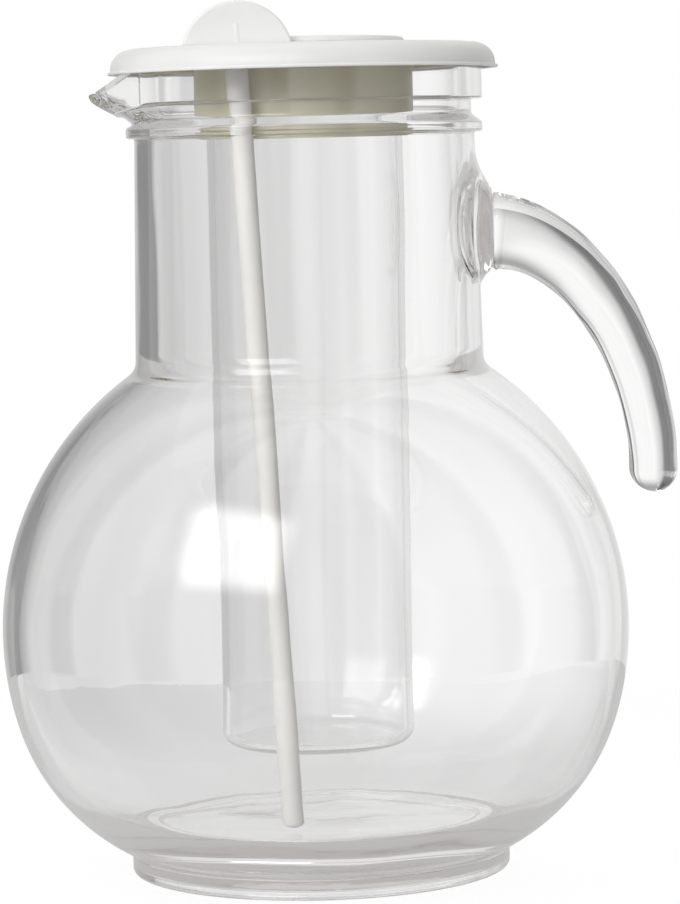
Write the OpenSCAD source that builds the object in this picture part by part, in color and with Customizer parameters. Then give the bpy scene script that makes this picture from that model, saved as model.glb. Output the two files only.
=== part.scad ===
// Glass pitcher with a lift-off lid, a hanging ice tube and a stirrer that passes through the lid.
// Millimetres. +Z is up, the origin is the centre of the foot's resting face,
// +X points to the handle and -X to the pouring lip.

/* [Bowl] */
// Outer radius of the round bowl
bowl_r = 83.5; // [78:0.1:92]
// Radius of the tighter arc that leads from the bowl down to the foot
heel_r = 57; // [52:0.5:64]
// Angle below the widest level at which the tighter arc begins
heel_start = 19; // [8:1:22]
// Thickness of the bowl's wall
bowl_wall = 3; // [2:0.1:4.5]
// Thickness of the solid glass base, from the table to the floor inside
base_t = 12; // [9:0.1:16]
// Angle below the widest level at which the wall inside turns in to the floor
floor_turn = 34; // [20:1:40]

/* [Foot] */
// Outer radius of the foot
foot_r = 50.5; // [46:0.1:56]
// Height of the foot's upright side
foot_h = 5.7; // [2.5:0.1:7]
// Rounding of the foot's lower edge
foot_round = 1.2; // [0.5:0.1:2]
// Width of the ring that rests on the table
rest_w = 5; // [3:0.5:9]
// Depth of the recess under the base
recess_h = 2.2; // [1:0.1:4]

/* [Neck] */
// Outer radius of the neck where it leaves the bowl
neck_low_r = 46.3; // [42:0.1:52]
// Outer radius of the neck just under the mouth
neck_top_r = 45; // [42:0.1:52]
// Length of the neck from the bowl to the mouth
neck_h = 61.3; // [45:0.1:85]
// Inner radius of the neck
neck_bore_r = 41.2; // [38:0.1:43]
// Radius of the curve between the bowl and the neck
shoulder_round = 5; // [2:0.5:9]

/* [Mouth] */
// Outer radius of the ring at the foot of the mouth
ring_r = 47.2; // [45.5:0.1:52]
// Height of the ring's upright side
ring_h = 2.6; // [1.5:0.1:4]
// Height of the slope from the ring in to the waist
ring_slope_h = 2.2; // [1:0.1:3.5]
// Radius of the waist between the ring and the rim band
waist_r = 44.3; // [43.5:0.1:46]
// Height from the ring's lower edge to the rim band
waist_h = 8.7; // [8:0.1:12]
// Outer radius of the rim band
band_r = 47.2; // [46:0.1:54]
// Height of the rim band
band_h = 12.3; // [9:0.1:16]
// Rounding of the rim
rim_round = 1.6; // [0.8:0.1:2.2]

/* [Pouring lip] */
// How far the lip's tip stands out from the rim band
lip_reach = 9.6; // [5:0.1:12]
// Radius of the lip's tip, seen from above
lip_tip_r = 3.2; // [2:0.1:5]
// Height of the tip's upper edge above the band's lower edge
lip_rise = 2.2; // [1:0.1:4]
// Thickness of the lip's glass
lip_wall = 1.8; // [1.4:0.1:3]
// Slope of the lip's underside
lip_slope = 27; // [20:1:40]
// Radius of the dip that the lip makes in the rim
lip_dip_r = 23; // [16:0.5:30]

/* [Handle] */
// How far the pad for the handle stands out from the neck
pad_out = 3.4; // [2.5:0.1:6]
// Radius of the pad's flat face
pad_r = 11; // [9:0.1:14]
// Radius of the hollow curve from the neck to the pad's face
pad_sweep_r = 6; // [5:0.5:12]
// Height of the handle's middle line where it meets the pad, above the shoulder
handle_z = 35.1; // [28:0.1:46]
// How far the handle reaches out from the pad
handle_reach = 42.4; // [34:0.1:56]
// How far the handle's middle line drops to its tip
handle_drop = 64; // [45:0.5:80]
// Roundness of the handle's bend, where 2 is an ellipse
handle_bend = 1.9; // [1.8:0.05:2.6]
// Height of the handle's section at the pad
root_h = 22; // [16:0.1:24]
// Width of the handle's section at the pad
root_w = 17.5; // [12:0.1:20]
// Thickness of the handle at its tip
tip_h = 12.8; // [9:0.1:15]
// Width of the handle at its tip
tip_w = 12.6; // [9:0.1:15]

/* [Lid] */
// How far the lid's edge stands out past the rim band
lid_overhang = 3.7; // [3.2:0.1:6]
// Thickness of the lid's plate
lid_t = 2.4; // [1.8:0.1:4]
// Depth of the lid's skirt below the plate
skirt_h = 4.2; // [3:0.1:5]
// Thickness of the lid's skirt
skirt_t = 1.6; // [1.4:0.1:2.4]
// Rounding of the lid's upper edge
lid_round = 5.5; // [3:0.1:6]
// How far the thin lip round the skirt stands out
skirt_lip = 0.7; // [0.4:0.1:1.5]
// Height of the raised middle of the lid
crown_h = 2; // [1:0.1:4]
// Depth of the ring that drops inside the rim
spigot_h = 3.8; // [2.5:0.1:4]
// Thickness of the ring that drops inside the rim
spigot_t = 1.8; // [1.2:0.1:2.5]
// Depth of the collar that holds the ice tube
collar_h = 22.5; // [14:0.5:30]
// Thickness of the collar
collar_t = 3; // [2:0.1:4]
// Height of the thinned lower end of the collar
collar_step_h = 2.4; // [1:0.1:4]

/* [Ice tube] */
// Outer radius of the ice tube
tube_r = 25.9; // [22:0.1:27]
// Thickness of the ice tube's wall
tube_t = 1.8; // [1.2:0.1:3]
// Clear height between the glass floor and the ice tube's base
tube_clear = 21.5; // [16:0.5:40]
// Rounding of the ice tube's lower edge
tube_round = 4; // [2:0.1:6]

/* [Stirrer] */
// Diameter of the stirrer's rod
rod_d = 5.5; // [4:0.1:6]
// Direction of the stirrer's hole from the lid's middle, with the handle at 0
stirrer_turn = 240.5; // [225:0.5:255]
// Lean of the rod from upright, its foot towards the handle
rod_lean = 2.7; // [0:0.1:4]
// Gap between the rod's foot and the glass floor
rod_gap = 1.5; // [0.5:0.1:6]
// Radius of the round finger grip
grip_r = 14.5; // [11:0.1:17]
// Depth of the grip's circle centre below its flat base
grip_sink = 3.2; // [0:0.1:5]
// Thickness of the finger grip
grip_t = 3; // [2:0.1:4]
// Height of the rib that carries the rod up the grip
grip_rib_h = 6.5; // [4:0.1:9]

/* [Clearances] */
// Gap all round between the ice tube and its collar
tube_fit = 0.08; // [0.05:0.01:0.2]
// Gap all round between the rod and its hole
rod_fit = 0.4; // [0.3:0.05:0.8]
// Gap all round between the lid's ring and the rim
spigot_fit = 0.8; // [0.4:0.1:1.5]
// Gap between the grip and the raised middle of the lid
grip_fit = 0.9; // [0.4:0.1:1.5]

/* [Hidden] */
$fn = 96;
glass_colour = [0.80, 0.85, 0.86, 0.45];
tube_colour = [0.86, 0.89, 0.91, 0.40];
plastic_colour = [0.94, 0.94, 0.92];
past = 1; // how far a cutter runs past what it cuts
graze = 0.4; // how far the lip's sides cut into the rim band, so that they meet at an angle
kink = 0.8; // angle at which an arc crosses the arc that follows it, so that they meet at a point
lap = 2.4; // how far an arc runs on past the point where it meets the next
sink = 0.02; // how far a hollow curve cuts into the surfaces beside it, so that it crosses them

// Rounds a level to a hundredth, so that what stands on it meets it exactly
function tidy(level) = round(level * 100) / 100;

// Bowl: a sphere above the heel level, and a tighter arc from there to the foot
heel_x = bowl_r * cos(heel_start) - heel_r * cos(heel_start + kink);
heel_drop = bowl_r * sin(heel_start) - heel_r * sin(heel_start + kink);
foot_angle = acos((foot_r - heel_x) / heel_r);
bowl_z = tidy(foot_h + heel_r * sin(foot_angle) + heel_drop);
heel_z = bowl_z - heel_drop;
heel_top = bowl_z - bowl_r * sin(heel_start) + lap;

// Neck and mouth, from the shoulder up
shoulder_z = tidy(bowl_z + sqrt(bowl_r * bowl_r - neck_low_r * neck_low_r));
ring_z = shoulder_z + neck_h;
band_z = ring_z + waist_h;
rim_z = band_z + band_h;
neck_taper = atan((neck_low_r - neck_top_r) / neck_h);

// Floor inside: level in the middle, with an arc that rises from it to the heel's inner arc
heel_in_r = heel_r - bowl_wall;
floor_end_z = heel_z - heel_in_r * sin(floor_turn);
floor_arc_r = tidy((floor_end_z - base_t) / (1 - sin(floor_turn + kink)));
floor_r = tidy(heel_x + heel_in_r * cos(floor_turn) - floor_arc_r * cos(floor_turn + kink));
floor_top = floor_end_z + lap;

// Pouring lip
lip_tip_x = band_r + lip_reach;
lip_tip_z = band_z + lip_rise;
lip_side_r = band_r - graze;
channel_tip_r = lip_tip_r - lip_wall * 0.9;

// Handle
pad_x = tidy(neck_low_r - handle_z * tan(neck_taper) + pad_out);
handle_root_z = shoulder_z + handle_z;
handle_tip_z = handle_root_z - handle_drop;

// Lid
lid_r = band_r + lid_overhang;
skirt_in_r = lid_r - skirt_t;
spigot_r = neck_bore_r - spigot_fit;
collar_bore_r = tube_r + tube_fit;
collar_r = collar_bore_r + collar_t;
collar_step_r = collar_bore_r + collar_t / 2;
lid_top_z = rim_z + lid_t;

// Stirrer, whose hole lies midway between the collar and the lid's ring
stirrer_r = (collar_r + spigot_r - spigot_t) / 2;
stirrer_x = stirrer_r * cos(stirrer_turn);
stirrer_y = stirrer_r * sin(stirrer_turn);
rod_r = rod_d / 2;
rod_len = (lid_top_z - base_t - rod_gap - rod_r * (1 - cos(rod_lean))) / cos(rod_lean);
crown_r = abs(stirrer_y) - grip_t / 2 - grip_fit;

// Ice tube
tube_base_z = base_t + tube_clear;
tube_h = rim_z - tube_base_z;

// Everything between two heights, from the axis out to a radius
module slab_2d(low, high, r) {
    translate([0, low]) square([r, high - low]);
}

// Hollow curve between a round bowl and the tapered neck that rises from it
module shoulder_2d(r, neck_r, taper, round_r) {
    start = [neck_r, bowl_z + sqrt(r * r - neck_r * neck_r)];
    out = [cos(taper), sin(taper)];
    up = [-sin(taper), cos(taper)];
    base = start + (round_r - sink) * out - [0, bowl_z];
    b = base * up;
    c = base * base - (r + round_r - sink) * (r + round_r - sink);
    centre = [0, bowl_z] + base + (sqrt(b * b - c) - b) * up;
    to_bowl = (centre - [0, bowl_z]) / norm(centre - [0, bowl_z]);
    difference() {
        polygon([start - past * out, [0, bowl_z] + (r - past) * to_bowl, centre,
            centre - (round_r + past) * out]);
        translate(centre) circle(round_r);
    }
}

// Bowl and heel from a level up, with the wall inset by t
module bowl_2d(t, low) {
    intersection() {
        translate([0, bowl_z]) circle(bowl_r - t);
        union() {
            slab_2d(heel_top, bowl_z + bowl_r, bowl_r + past);
            slab_2d(low, heel_top + past, heel_x);
            intersection() {
                translate([heel_x, heel_z]) circle(heel_r - t);
                slab_2d(low, heel_top, bowl_r + past);
            }
        }
    }
}

module foot_2d() {
    slab_2d(foot_round, foot_h + past, foot_r);
    slab_2d(0, foot_round, foot_r - foot_round);
    translate([foot_r - foot_round, foot_round]) circle(foot_round);
}

// Neck, ring, waist and rim band
module neck_and_mouth_2d() {
    below = shoulder_z - shoulder_round;
    polygon([[0, below], [neck_low_r + (shoulder_z - below) * tan(neck_taper) - past, below],
        [neck_low_r, shoulder_z], [neck_top_r, ring_z], [ring_r, ring_z], [ring_r, ring_z + ring_h],
        [waist_r, ring_z + ring_h + ring_slope_h], [waist_r, band_z], [band_r, band_z],
        [band_r, rim_z - rim_round], [band_r - rim_round, rim_z - rim_round],
        [band_r - rim_round, rim_z], [0, rim_z]]);
    translate([band_r - rim_round, rim_z - rim_round]) circle(rim_round);
}

// Outline of all the glass, filled to the axis
module jug_outer_2d() {
    foot_2d();
    bowl_2d(0, foot_h - past);
    shoulder_2d(bowl_r, neck_low_r, neck_taper, shoulder_round);
    neck_and_mouth_2d();
}

// Everything above the floor inside and the arc that rises from it
module above_floor_2d() {
    slab_2d(floor_top, bowl_z + bowl_r, bowl_r + past);
    slab_2d(base_t, floor_top + past, floor_r);
    intersection() {
        translate([floor_r, base_t + floor_arc_r]) circle(floor_arc_r);
        translate([floor_r, base_t]) square([floor_arc_r, floor_top - base_t]);
    }
}

// Space inside the jug, from the floor up through the mouth
module jug_inner_2d() {
    intersection() {
        bowl_2d(bowl_wall, foot_h);
        above_floor_2d();
    }
    shoulder_2d(bowl_r - bowl_wall, neck_bore_r, 0, shoulder_round);
    slab_2d(bowl_z, rim_z + past, neck_bore_r);
    mouth_flare_2d();
}

// Rounding of the rim's inner edge
module mouth_flare_2d() {
    difference() {
        translate([neck_bore_r - past, rim_z - rim_round]) square([rim_round + past, rim_round + past]);
        translate([neck_bore_r + rim_round, rim_z - rim_round]) circle(rim_round);
    }
}

// Plan of the lip: the two straight sides that leave a round body and close on a small round tip
module lip_plan_2d(body_r, tip_r, tip_x) {
    reach = tip_x - tip_r;
    side_r = tip_r - sink;
    turn = acos((body_r - side_r) / reach);
    polygon([[0, 0], body_r * [-cos(turn), sin(turn)], [-reach, 0] + side_r * [-cos(turn), sin(turn)],
        [-reach, 0] + side_r * [-cos(turn), -sin(turn)], body_r * [-cos(turn), -sin(turn)]]);
    translate([-reach, 0]) circle(tip_r);
}

// Height of the lip's underside at a radius
function lip_under(r) = lip_tip_z - lip_wall - (lip_tip_x - r) * tan(lip_slope);

// Everything above the lip's underside, lifted by a height
module above_lip(lift) {
    rotate_extrude()
        polygon([[0, lip_under(0) + lift], [lip_tip_x + past, lip_under(lip_tip_x + past) + lift],
            [lip_tip_x + past, rim_z + past], [0, rim_z + past]]);
}

// Solid of the lip, up to the level of the rim
module lip_body() {
    intersection() {
        translate([0, 0, ring_z]) linear_extrude(rim_z - ring_z - rim_round)
            lip_plan_2d(lip_side_r, lip_tip_r, lip_tip_x);
        above_lip(0);
    }
}

// Channel along the lip, and the dip that it makes in the rim
module lip_channel() {
    intersection() {
        translate([0, 0, ring_z]) linear_extrude(rim_z - ring_z + past)
            lip_plan_2d(neck_bore_r - graze, channel_tip_r, lip_tip_x - lip_wall / 2);
        above_lip(lip_wall);
        translate([-lip_tip_x - past, -band_r, ring_z]) cube([lip_tip_x + past, 2 * band_r, band_r]);
    }
    translate([-lip_tip_x - past, 0, lip_tip_z + lip_dip_r]) rotate([0, 90, 0])
        cylinder(r = lip_dip_r, h = lip_tip_x - neck_bore_r / 2);
}

// Pad on the neck, turned about the handle's root line, that swells out to a flat face
module handle_pad() {
    inner_x = neck_bore_r - past;
    translate([0, 0, handle_root_z]) rotate([0, 90, 0]) rotate_extrude() difference() {
        translate([0, inner_x]) square([pad_r + pad_sweep_r, pad_x - inner_x]);
        translate([pad_r + pad_sweep_r, pad_x]) circle(pad_sweep_r);
    }
}

module glass_jug() {
    color(glass_colour) difference() {
        union() {
            rotate_extrude() jug_outer_2d();
            handle_pad();
            lip_body();
        }
        rotate_extrude() jug_inner_2d();
        lip_channel();
        translate([0, 0, -past]) cylinder(r = foot_r - foot_round - rest_w, h = recess_h + past);
    }
}

// A point of the handle's middle line, where u runs from 0 at the pad to 1 at the tip
function handle_point(u) = [pad_x + handle_reach * pow(sin(90 * u), 2 / handle_bend),
    handle_tip_z + handle_drop * pow(cos(90 * u), 2 / handle_bend)];

// Direction across the handle, in its own plane, square to the middle line
function handle_across(u) = u <= 0 ? [0, 1] : u >= 1 ? [1, 0] :
    let (step = 0.004, d = handle_point(u + step) - handle_point(u - step)) [-d[1], d[0]] / norm(d);

// Half of a size that tapers from the root to the tip
function tapered(root, tip, u) = (tip + (root - tip) * pow(1 - u, 1.8)) / 2;

// One ring of the handle's skin: an ellipse round a point, square to the middle line
function handle_ring(centre, across, half_h, half_w, sides) = [for (i = [0 : sides - 1])
    let (a = 360 * i / sides, p = centre + half_h * cos(a) * across) [p[0], half_w * sin(a), p[1]]];

module glass_handle() {
    rings = 22;
    cap_rings = 5;
    sides = 28;
    along = [for (i = [0 : rings]) let (u = i / rings) handle_ring(handle_point(u), handle_across(u),
        tapered(root_h, tip_h, u), tapered(root_w, tip_w, u), sides)];
    cap = [for (i = [1 : cap_rings]) let (a = 90 * i / (cap_rings + 0.35)) handle_ring(
        [pad_x + handle_reach, handle_tip_z - tip_h / 2 * sin(a)], [1, 0],
        tip_h / 2 * cos(a), tip_w / 2 * cos(a), sides)];
    skin = concat(along, cap);
    last = len(skin) - 1;
    points = [for (ring = skin) each ring];
    sides_faces = [for (k = [0 : last - 1], i = [0 : sides - 1])
        let (j = (i + 1) % sides, a = k * sides + i, b = k * sides + j)
        each [[a, b, b + sides], [a, b + sides, a + sides]]];
    root_face = [for (i = [sides - 1 : -1 : 0]) i];
    tip_face = [for (i = [0 : sides - 1]) last * sides + i];
    color(glass_colour) polyhedron(points, concat([root_face, tip_face], sides_faces));
}

// Half section of the lid's plate and skirt, before the underside is hollowed
module lid_cap_2d() {
    low = rim_z - skirt_h;
    slab_2d(low, lid_top_z, lid_r - lid_round);
    slab_2d(low, lid_top_z - lid_round, lid_r);
    intersection() {
        translate([lid_r - lid_round, lid_top_z - lid_round]) circle(lid_round);
        slab_2d(low, lid_top_z, lid_r);
    }
    translate([lid_r - past, low]) square([past + skirt_lip, skirt_lip]);
}

// Raised middle of the lid, with a rounded edge
module crown_2d() {
    edge = crown_h * 0.6;
    slab_2d(rim_z, lid_top_z + crown_h - edge, crown_r);
    slab_2d(rim_z, lid_top_z + crown_h, crown_r - edge);
    translate([crown_r - edge, lid_top_z + crown_h - edge]) circle(edge);
}

// Ring between two radii that hangs from the lid's plate
module hanging_ring_2d(inner, outer, depth) {
    translate([inner, rim_z - depth]) square([outer - inner, depth]);
}

// Places its children along the stirrer's rod: +Z runs up the rod, and 0 is at the lid's upper face
module along_rod() {
    translate([stirrer_x, stirrer_y, lid_top_z]) rotate([0, -rod_lean, 0]) children();
}

module lid() {
    color(plastic_colour) difference() {
        rotate_extrude() {
            difference() {
                lid_cap_2d();
                slab_2d(rim_z - skirt_h - past, rim_z, skirt_in_r);
            }
            crown_2d();
            hanging_ring_2d(spigot_r - spigot_t, spigot_r, spigot_h);
            hanging_ring_2d(collar_bore_r, collar_r, collar_h - collar_step_h);
            hanging_ring_2d(collar_bore_r, collar_step_r, collar_h);
        }
        along_rod() cylinder(r = rod_r + rod_fit, h = 4 * lid_t, center = true);
    }
}

module ice_tube() {
    inner_round = max(tube_round - tube_t, 0.5);
    color(tube_colour) translate([0, 0, tube_base_z]) rotate_extrude() difference() {
        union() {
            slab_2d(tube_round, tube_h, tube_r);
            slab_2d(0, tube_round, tube_r - tube_round);
            intersection() {
                translate([tube_r - tube_round, tube_round]) circle(tube_round);
                slab_2d(0, tube_round, tube_r);
            }
        }
        union() {
            slab_2d(tube_t + inner_round, tube_h + past, tube_r - tube_t);
            slab_2d(tube_t, tube_t + inner_round, tube_r - tube_t - inner_round);
            intersection() {
                translate([tube_r - tube_t - inner_round, tube_t + inner_round]) circle(inner_round);
                slab_2d(tube_t, tube_t + inner_round, tube_r - tube_t);
            }
        }
    }
}

// Finger grip: a round plate with a flat base on the lid, upright across the line from lip to handle
module grip() {
    translate([stirrer_x, stirrer_y, lid_top_z]) rotate([90, 0, 0])
        translate([0, 0, -grip_t / 2]) linear_extrude(grip_t) intersection() {
            translate([0, -grip_sink]) circle(grip_r);
            translate([-grip_r, 0]) square([2 * grip_r, grip_r]);
        }
}

// Half section of a rod with two round ends, from 0 up to a length
module round_rod_2d(r, length) {
    slab_2d(r, length - r, r);
    for (z = [r, length - r]) intersection() {
        translate([0, z]) circle(r);
        slab_2d(0, length, r);
    }
}

module stirrer() {
    color(plastic_colour) {
        grip();
        along_rod() translate([0, 0, -rod_len]) rotate_extrude() round_rod_2d(rod_r, rod_len + grip_rib_h);
    }
}

glass_jug();
glass_handle();
lid();
ice_tube();
stirrer();
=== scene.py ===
"""Looks of a glass pitcher with a lid, an ice tube and a stirrer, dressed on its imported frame.

A piece is shaped in millimetres and brought to metres when it is finished. +Z is up, +X points
to the handle and -X to the pouring lip, and the origin is the centre of the foot's resting face.
"""

import logging
import math
from collections.abc import Iterable
from dataclasses import dataclass
from enum import Enum

import bmesh
import bpy
from mathutils import Matrix, Vector, noise


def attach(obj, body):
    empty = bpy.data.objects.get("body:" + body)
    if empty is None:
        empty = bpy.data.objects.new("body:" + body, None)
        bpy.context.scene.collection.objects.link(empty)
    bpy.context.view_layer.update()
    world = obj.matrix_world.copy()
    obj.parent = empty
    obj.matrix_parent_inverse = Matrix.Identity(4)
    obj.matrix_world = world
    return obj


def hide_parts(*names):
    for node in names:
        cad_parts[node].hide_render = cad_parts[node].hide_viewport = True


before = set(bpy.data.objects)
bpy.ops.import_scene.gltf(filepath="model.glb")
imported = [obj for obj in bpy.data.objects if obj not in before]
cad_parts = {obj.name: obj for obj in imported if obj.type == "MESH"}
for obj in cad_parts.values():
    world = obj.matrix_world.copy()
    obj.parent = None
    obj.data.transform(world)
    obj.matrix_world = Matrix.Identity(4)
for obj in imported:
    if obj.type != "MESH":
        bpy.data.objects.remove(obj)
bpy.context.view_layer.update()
LOG = logging.getLogger("pitcher")
MM = 0.001
WAVE_SEED = 5
SPENT_BOUNCES = 2.5  # a ray that was mirrored more often goes straight through a clear wall
UNDER_LID_SHADE_R = (0.0405, 0.0425)  # radii in metres over which the painted shade under the lid ends
UNDER_LID_SHADE_Z = (0.2145, 0.2165)  # heights in metres over which it ends
BAY_GREYS = (  # way across a bay of the surroundings, and the grey there
    (0.0, 0.38), (0.06, 0.52), (0.14, 0.61), (0.22, 0.65), (0.3, 0.68), (0.39, 0.75),
    (0.5, 0.88), (0.61, 1.0), (0.68, 1.0), (0.72, 0.4), (0.76, 0.08), (0.93, 0.08),
    (0.97, 0.2), (1.0, 0.38))

Colour = tuple[float, float, float]
Stretch = tuple[float, float, float, float]


class Slot(Enum):
    """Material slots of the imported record."""

    GLASS = "glass"
    WHITE_PLASTIC = "white_plastic"
    CLEAR_PLASTIC = "clear_plastic"


class Body(Enum):
    """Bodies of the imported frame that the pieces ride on."""

    JUG = "jug"
    LID = "lid"
    ICE_TUBE = "ice_tube"
    STIRRER = "stirrer"


@dataclass(frozen=True)
class Corner:
    """A corner of a half section: radius, height and rounding in millimetres."""

    r: float
    z: float
    rounding: float = 0.0


def straight(start: Vector, end: Vector, step: float) -> list[Vector]:
    """Points along a straight line, the start left out and the end kept.

    Args:
        start: First end of the line, as (radius, height).
        end: Last end of the line.
        step: Longest distance between two points.

    Returns:
        The points in order.
    """
    count = max(1, math.ceil((end - start).length / step))
    return [start.lerp(end, i / count) for i in range(1, count + 1)]


def arc(centre: Vector, radius: float, start: float, end: float, step: float) -> list[Vector]:
    """Points along an arc, both ends kept.

    Args:
        centre: Centre of the arc, as (radius, height).
        radius: Radius of the arc.
        start: Angle of the first point in radians, anticlockwise from the radius axis.
        end: Angle of the last point.
        step: Longest distance between two points.

    Returns:
        The points in order.
    """
    count = max(4, math.ceil(abs(end - start) * radius / step))
    angles = [start + (end - start) * i / count for i in range(count + 1)]
    return [centre + radius * Vector((math.cos(a), math.sin(a))) for a in angles]


def rounded_chain(corners: list[Corner], step: float, fine: float = 0.35) -> list[Vector]:
    """A chain of straight lines with rounded corners.

    Args:
        corners: The corners in order; the first and the last are plain ends.
        step: Longest distance between two points of a straight line.
        fine: Longest distance between two points of a rounding.

    Returns:
        The points in order, with close ones at both ends of each rounding to hold its shading.
    """
    places = [Vector((c.r, c.z)) for c in corners]
    points = [places[0]]
    for i in range(1, len(corners) - 1):
        here, back, ahead = places[i], places[i - 1] - places[i], places[i + 1] - places[i]
        back.normalize()
        ahead.normalize()
        half = back.angle(ahead) / 2
        reach = corners[i].rounding / math.tan(half)
        first, last = here + back * reach, here + ahead * reach
        centre = here + (back + ahead).normalized() * (corners[i].rounding / math.sin(half))
        lead = min(fine, (first - points[-1]).length / 3)
        points += straight(points[-1], first + back * lead, step)
        a, b = (math.atan2(*(p - centre).yx) for p in (first, last))
        turn = (b - a + math.pi) % math.tau - math.pi
        points += arc(centre, corners[i].rounding, a, a + turn, fine)
        points.append(last + ahead * min(fine, (places[i + 1] - last).length / 3))
    return points + straight(points[-1], places[-1], step)


def turned(points: list[Vector], steps: int) -> bmesh.types.BMesh:
    """Turns a half section, whose ends lie on the axis, into a closed skin.

    Args:
        points: The half section as (radius, height).
        steps: Number of faces round the axis.

    Returns:
        The skin, with its faces outwards.
    """
    bm = bmesh.new()
    chain = [bm.verts.new((p.x, 0.0, p.y)) for p in points]
    edges = [bm.edges.new(pair) for pair in zip(chain, chain[1:])]
    bmesh.ops.spin(bm, geom=chain + edges, axis=(0, 0, 1), cent=(0, 0, 0), dvec=(0, 0, 0),
                   angle=math.tau, steps=steps, use_merge=True, use_duplicate=False)
    close_skin(bm)
    return bm


def close_skin(bm: bmesh.types.BMesh, near: float = 1e-4) -> None:
    """Merges doubled vertices and turns the faces outwards."""
    bmesh.ops.remove_doubles(bm, verts=bm.verts, dist=near)
    bmesh.ops.recalc_face_normals(bm, faces=bm.faces)


def as_object(bm: bmesh.types.BMesh, name: str) -> bpy.types.Object:
    """Puts a skin into the scene as an object and frees the skin.

    Args:
        bm: The skin.
        name: Name of the object and its mesh.

    Returns:
        The object.
    """
    mesh = bpy.data.meshes.new(name)
    bm.to_mesh(mesh)
    bm.free()
    made = bpy.data.objects.new(name, mesh)
    bpy.context.scene.collection.objects.link(made)
    return made


def join_solids(base: bpy.types.Object, tool: bpy.types.Object, operation: str) -> None:
    """Unites a tool with a base or cuts it away, and removes the tool.

    Args:
        base: Object that is changed.
        tool: Closed object that is added or taken away.
        operation: UNION or DIFFERENCE.
    """
    cut = base.modifiers.new("join", "BOOLEAN")
    cut.operation = operation
    cut.solver = "MANIFOLD"
    cut.object = tool
    settled = bpy.context.evaluated_depsgraph_get()
    mesh = bpy.data.meshes.new_from_object(base.evaluated_get(settled))
    base.modifiers.clear()
    old = base.data
    base.data = mesh
    bpy.data.meshes.remove(old)
    bpy.data.objects.remove(tool)


def finish_piece(piece: bpy.types.Object, material: bpy.types.Material, body: Body,
                 nodes: tuple[str, ...], sharp: float = 50.0, flat: float = 2.0,
                 ) -> bpy.types.Object:
    """Brings a piece to metres, shades it smooth and ties it to the frame.

    Args:
        piece: The piece, in millimetres.
        material: Its finish.
        body: Body that it rides on.
        nodes: CAD nodes that it stands for.
        sharp: Angle in degrees past which an edge stays sharp.
        flat: How squarely a face has to point along Y to be shaded flat; none does at 2.

    Returns:
        The piece.
    """
    bm = bmesh.new()
    bm.from_mesh(piece.data)
    close_skin(bm, 1e-3)
    bmesh.ops.dissolve_degenerate(bm, dist=1e-3, edges=bm.edges)
    bmesh.ops.triangulate(bm, faces=[f for f in bm.faces if len(f.verts) > 4])
    bm.normal_update()
    bmesh.ops.scale(bm, vec=(MM, MM, MM), verts=bm.verts)
    for face in bm.faces:
        face.smooth = abs(face.normal.y) < flat
    for edge in bm.edges:
        edge.smooth = len(edge.link_faces) == 2 and edge.calc_face_angle(0.0) < math.radians(sharp)
    bm.to_mesh(piece.data)
    bm.free()
    piece.data.materials.clear()
    piece.data.materials.append(material)
    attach(piece, body.value)
    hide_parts(*nodes)
    piece.data.calc_loop_triangles()
    LOG.info("%s: %d triangles on %s", piece.name, len(piece.data.loop_triangles), body.value)
    return piece


def smoothstep(low: float, high: float, value: float) -> float:
    """Eases from 0 at one value to 1 at another."""
    t = min(1.0, max(0.0, (value - low) / (high - low)))
    return t * t * (3.0 - 2.0 * t)


def soft_least(a: float, b: float, width: float) -> float:
    """The lesser of two lengths, with a rounded corner of some width where they meet."""
    return min(a, b) - width * math.log1p(math.exp(-abs(a - b) / width))


@dataclass
class LipPlan:
    """Outline of the pouring lip from above: a round body with two sides that meet at a tip."""

    body_r: float
    tip_r: float
    tip_x: float

    @property
    def turn(self) -> float:
        """Angle from the lip's middle at which its sides leave the round body."""
        return math.acos((self.body_r - self.tip_r) / (self.tip_x - self.tip_r))

    def radius(self, angle: float) -> float:
        """Distance from the axis to the outline at an angle from the lip's middle.

        Args:
            angle: Angle in radians.

        Returns:
            The distance in millimetres.
        """
        angle = abs(angle)
        if angle >= self.turn:
            return self.body_r
        side = self.body_r / math.cos(self.turn - angle)
        centre = self.tip_x - self.tip_r
        off = centre * math.sin(angle)
        if off >= self.tip_r:
            return side
        return min(side, centre * math.cos(angle) + math.sqrt(self.tip_r ** 2 - off ** 2))


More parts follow.
